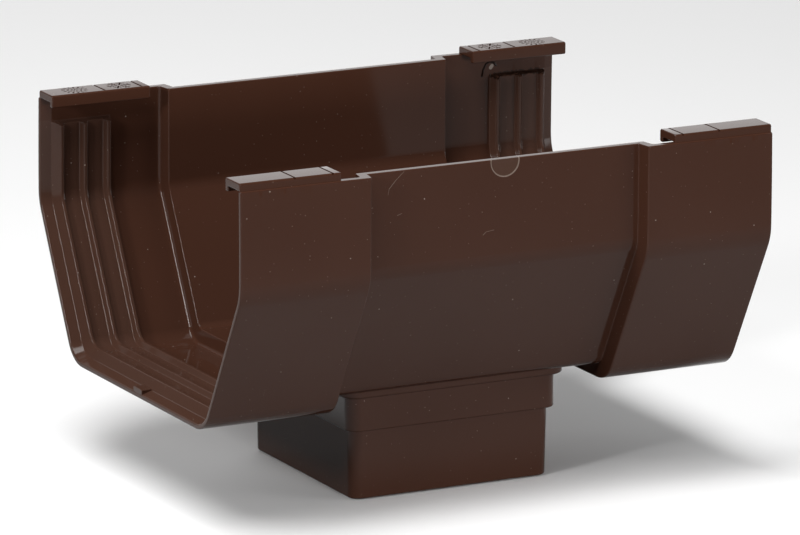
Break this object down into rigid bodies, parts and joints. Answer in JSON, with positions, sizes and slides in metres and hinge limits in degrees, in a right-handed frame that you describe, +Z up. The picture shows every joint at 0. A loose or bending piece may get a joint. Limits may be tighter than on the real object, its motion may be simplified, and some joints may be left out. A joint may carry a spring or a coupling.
{
  "type": "gutter outlet",
  "caption": "Moulded outlet for a square-profile rain gutter: an open trough with ribbed sockets and hook tabs at its ends and a square downpipe spigot below.",
  "frame": {"origin": "middle of the spigot's lower edge, on the plane that the outlet stands on", "axes": "+X along the gutter, +Y across it, +Z up out of the trough"},
  "size_m": [0.16, 0.1264, 0.0998],
  "materials": {
    "brown_pvc": "gloss"
  },
  "bodies": {
    "root": {"gutter_outlet": "brown_pvc"}
  },
  "joints": []
}
